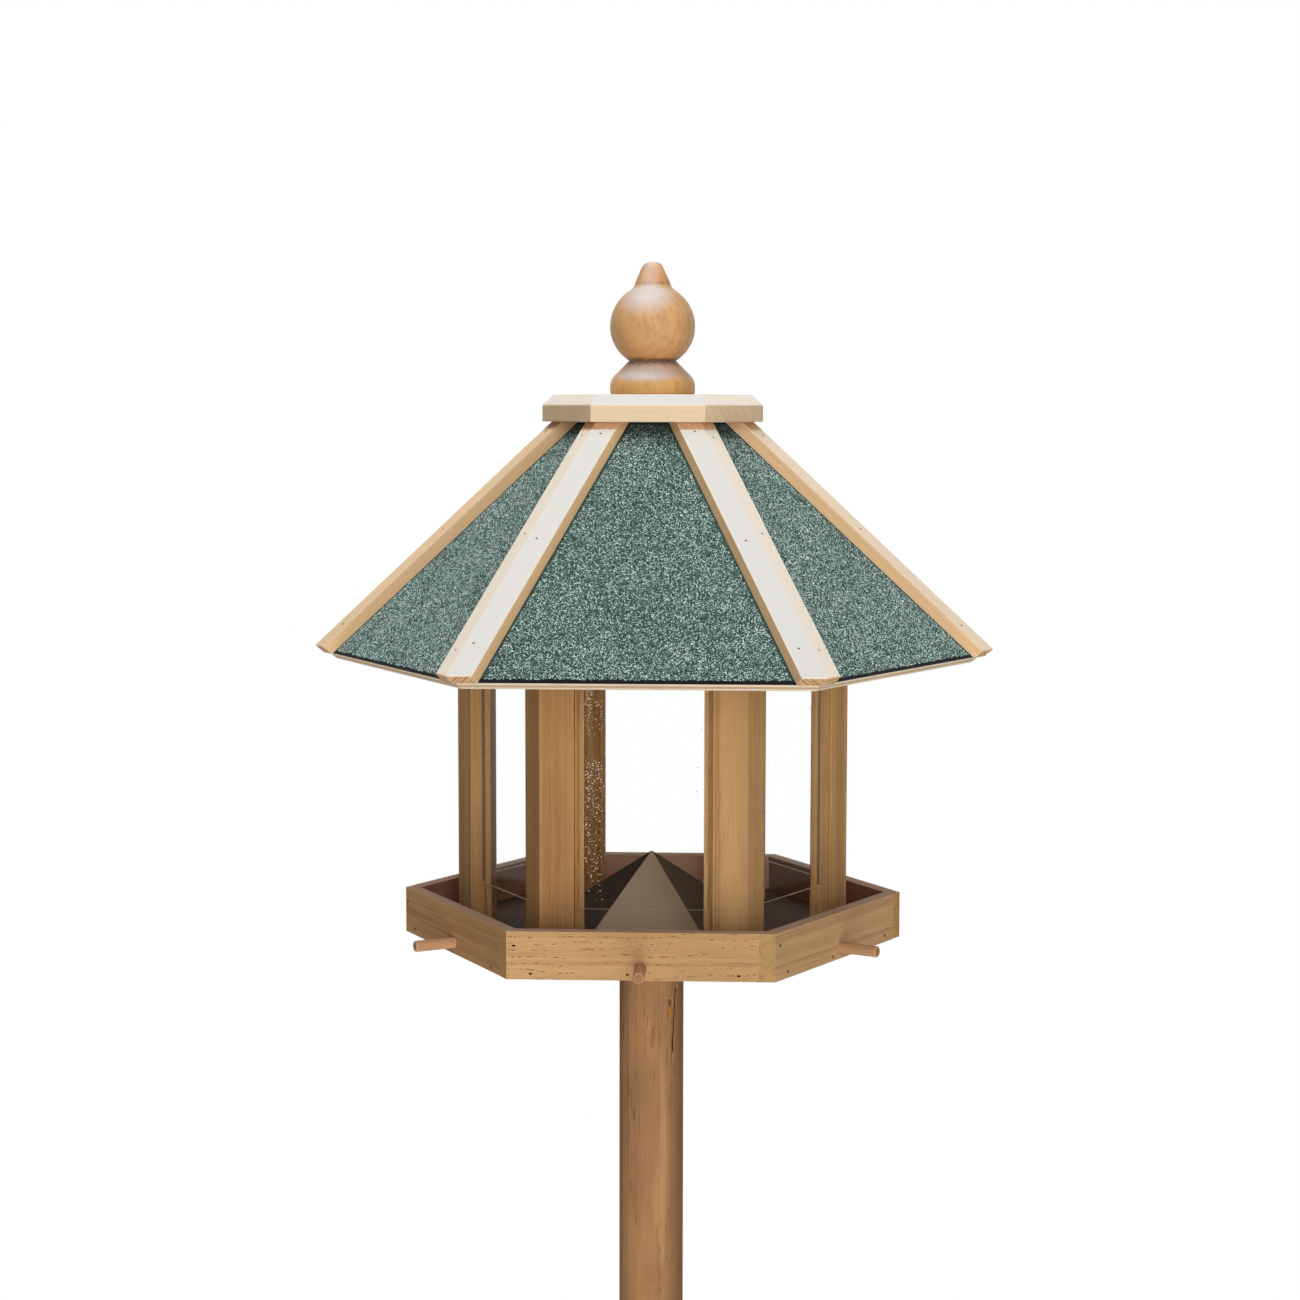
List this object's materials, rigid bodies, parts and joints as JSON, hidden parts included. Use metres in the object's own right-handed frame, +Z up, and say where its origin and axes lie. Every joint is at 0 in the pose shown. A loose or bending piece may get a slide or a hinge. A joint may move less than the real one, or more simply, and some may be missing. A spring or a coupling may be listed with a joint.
{
  "type": "hexagonal silo bird feeder on a pole",
  "caption": "Hexagonal bird feeder on a round pole: felted roof with hip battens, clear silo panes between rebated corner posts, seed pyramid, tray with perches and a lift-off cap.",
  "frame": {"origin": "middle of the pole's foot, at ground level", "axes": "+Z up the pole; the front face of the tray looks along -Y; two corners of the hexagon lie on the X axis"},
  "size_m": [0.6288, 0.5446, 1.497],
  "materials": {
    "pole_timber": "debarked and smoothed round pine, stained",
    "plywood": "bare plywood with its layers showing on the edges",
    "weathered_plywood": "plywood darkened by seed and damp",
    "stained_boards": "sawn softwood boards, brown stain",
    "stained_posts": "planed softwood, brown stain, straight grain",
    "dowels": "turned beech dowel",
    "clear_acrylic": "clear sheet, a little dusty",
    "mineral_felt": "roofing felt with green mineral granules",
    "pale_pine": "pale planed pine",
    "turned_wood": "turned and oiled hardwood, satin"
  },
  "bodies": {
    "feeder": {"pole": "pole_timber", "tray_floor": "plywood", "tray_board_1": "stained_boards", "tray_board_2": "stained_boards", "tray_board_3": "stained_boards", "tray_board_4": "stained_boards", "tray_board_5": "stained_boards", "tray_board_6": "stained_boards", "perches": "dowels", "seed_pyramid": "weathered_plywood", "post_1": "stained_posts", "post_2": "stained_posts", "post_3": "stained_posts", "post_4": "stained_posts", "post_5": "stained_posts", "post_6": "stained_posts", "pane_1": "clear_acrylic", "pane_2": "clear_acrylic", "pane_3": "clear_acrylic", "pane_4": "clear_acrylic", "pane_5": "clear_acrylic", "pane_6": "clear_acrylic", "roof_panel_1": "plywood", "roof_panel_2": "plywood", "roof_panel_3": "plywood", "roof_panel_4": "plywood", "roof_panel_5": "plywood", "roof_panel_6": "plywood", "roof_felt_1": "mineral_felt", "roof_felt_2": "mineral_felt", "roof_felt_3": "mineral_felt", "roof_felt_4": "mineral_felt", "roof_felt_5": "mineral_felt", "roof_felt_6": "mineral_felt", "hip_batten_1": "pale_pine", "hip_batten_2": "pale_pine", "hip_batten_3": "pale_pine", "hip_batten_4": "pale_pine", "hip_batten_5": "pale_pine", "hip_batten_6": "pale_pine"},
    "lid": {"roof_cap": "pale_pine", "cap_block": "plywood", "finial": "turned_wood"}
  },
  "joints": [
    {"name": "lid_lift", "type": "slide", "parent": "feeder", "child": "lid", "axis": [0, 0, 1], "range_m": [0, 0.15]}
  ]
}
